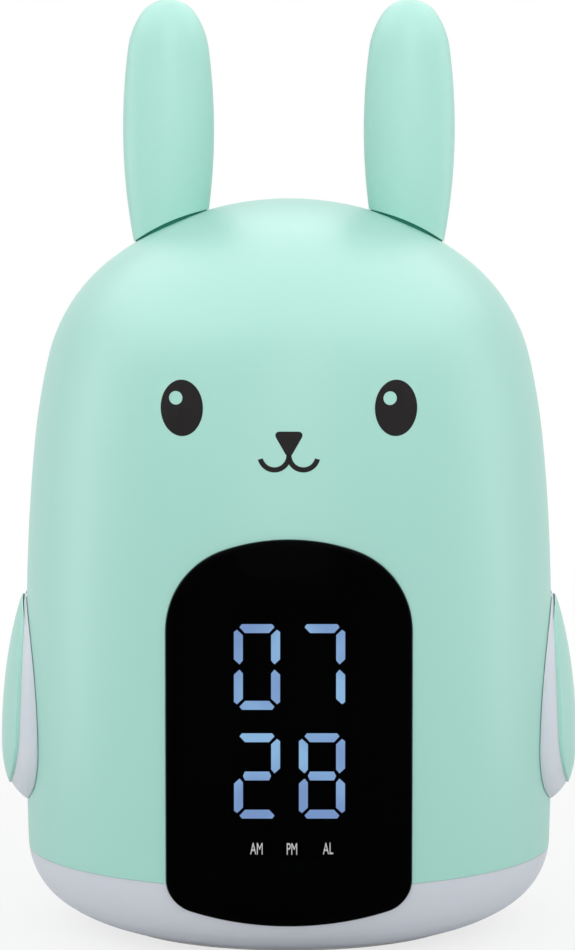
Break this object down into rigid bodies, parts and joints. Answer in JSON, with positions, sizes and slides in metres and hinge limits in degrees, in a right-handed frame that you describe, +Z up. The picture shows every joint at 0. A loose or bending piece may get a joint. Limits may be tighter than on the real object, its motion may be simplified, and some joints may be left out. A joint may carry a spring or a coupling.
{
  "type": "kids alarm clock with night light",
  "caption": "Children's table alarm clock and night light: drafted dome with ears, frosted glowing base, press pads on the flanks and a tall smoked display window.",
  "frame": {"origin": "on the table under the middle of the body", "axes": "+Z up, display window facing -Y, +X to the right of someone looking at the window"},
  "size_m": [0.1312, 0.122, 0.2103],
  "materials": {
    "mint_shell": "satin moulded ABS, mint",
    "mint_key": "moulded ABS, mint",
    "frosted": "frosted translucent plastic",
    "smoked_lens": "smoked clear acrylic, polished",
    "black_tape": "black foam adhesive tape",
    "grey_reflector": "dark moulded reflector",
    "lit_segment": "pale blue lit segments",
    "dark_segment": "unlit diffusing segments",
    "led": "surface-mounted light-emitting diodes",
    "black_board": "black circuit board",
    "white_board": "white circuit board",
    "green_board": "green circuit board",
    "board_part": "moulded electronic parts",
    "switch_body": "tactile switches",
    "steel_screw": "zinc-plated steel",
    "steel_shell": "plated steel socket shell",
    "nickel_contact": "nickel-plated spring steel",
    "black_steel": "pressed steel speaker basket, black",
    "paper_cone": "coated paper cone",
    "ferrite": "ferrite magnet",
    "white_plastic": "white moulded ABS",
    "foot_rubber": "grey rubber foot pads",
    "cell_jacket": "plain jacketed dry cell"
  },
  "bodies": {
    "clock_body": {"dome_shell": "mint_shell", "right_ear": "mint_shell", "left_ear": "mint_shell", "base_diffuser": "frosted", "right_arm_diffuser": "frosted", "left_arm_diffuser": "frosted", "display_lens": "smoked_lens", "lens_tape": "black_tape", "digit_reflector": "grey_reflector", "lit_segments": "lit_segment", "unlit_segments": "dark_segment", "display_leds": "led", "display_board": "black_board", "display_screws": "steel_screw", "ear_washers": "steel_screw", "ear_screws": "steel_screw", "right_arm_board": "white_board", "left_arm_board": "white_board", "arm_switches": "switch_body", "arm_leds": "led", "arm_screws": "steel_screw", "bottom_plate": "white_plastic", "base_screws": "steel_screw", "foot_pads": "foot_rubber", "battery_cells": "cell_jacket", "plus_contacts": "nickel_contact", "minus_contacts": "nickel_contact", "inner_chassis": "white_plastic", "chassis_screws": "steel_screw", "light_ring_board": "white_board", "light_ring_leds": "led", "light_ring_screws": "steel_screw", "main_board": "green_board", "main_board_screws": "steel_screw", "main_board_parts": "board_part", "inlet_shell": "steel_shell", "inlet_tongue": "board_part", "rear_board": "green_board", "key_switches": "switch_body", "rear_board_screws": "steel_screw", "speaker_basket": "black_steel", "speaker_cone": "paper_cone", "speaker_magnet": "ferrite", "speaker_screws": "steel_screw"},
    "battery_door": {"battery_door": "white_plastic"},
    "right_arm_button": {"right_arm_button": "mint_shell"},
    "left_arm_button": {"left_arm_button": "mint_shell"},
    "time_key": {"time_key": "mint_key"},
    "alarm_key": {"alarm_key": "mint_key"},
    "light_key": {"light_key": "mint_key"},
    "down_key": {"down_key": "mint_key"},
    "up_key": {"up_key": "mint_key"}
  },
  "joints": [
    {"name": "battery_door_swing", "type": "hinge", "parent": "clock_body", "child": "battery_door", "pos_m": [0, -0.026, 0.001], "axis": [-1, 0, 0], "range_deg": [0, 70]},
    {"name": "right_arm_press", "type": "slide", "parent": "clock_body", "child": "right_arm_button", "axis": [-1, 0, 0], "range_m": [0, 0.0006], "stiffness_N_per_m": 2500},
    {"name": "left_arm_press", "type": "slide", "parent": "clock_body", "child": "left_arm_button", "axis": [1, 0, 0], "range_m": [0, 0.0006], "stiffness_N_per_m": 2500},
    {"name": "time_key_press", "type": "slide", "parent": "clock_body", "child": "time_key", "axis": [0, -1, 0], "range_m": [0, 0.0006], "stiffness_N_per_m": 2500},
    {"name": "alarm_key_press", "type": "slide", "parent": "clock_body", "child": "alarm_key", "axis": [0, -1, 0], "range_m": [0, 0.0006], "stiffness_N_per_m": 2500},
    {"name": "light_key_press", "type": "slide", "parent": "clock_body", "child": "light_key", "axis": [0, -1, 0], "range_m": [0, 0.0006], "stiffness_N_per_m": 2500},
    {"name": "down_key_press", "type": "slide", "parent": "clock_body", "child": "down_key", "axis": [0, -1, 0], "range_m": [0, 0.0006], "stiffness_N_per_m": 2500},
    {"name": "up_key_press", "type": "slide", "parent": "clock_body", "child": "up_key", "axis": [0, -1, 0], "range_m": [0, 0.0006], "stiffness_N_per_m": 2500}
  ]
}
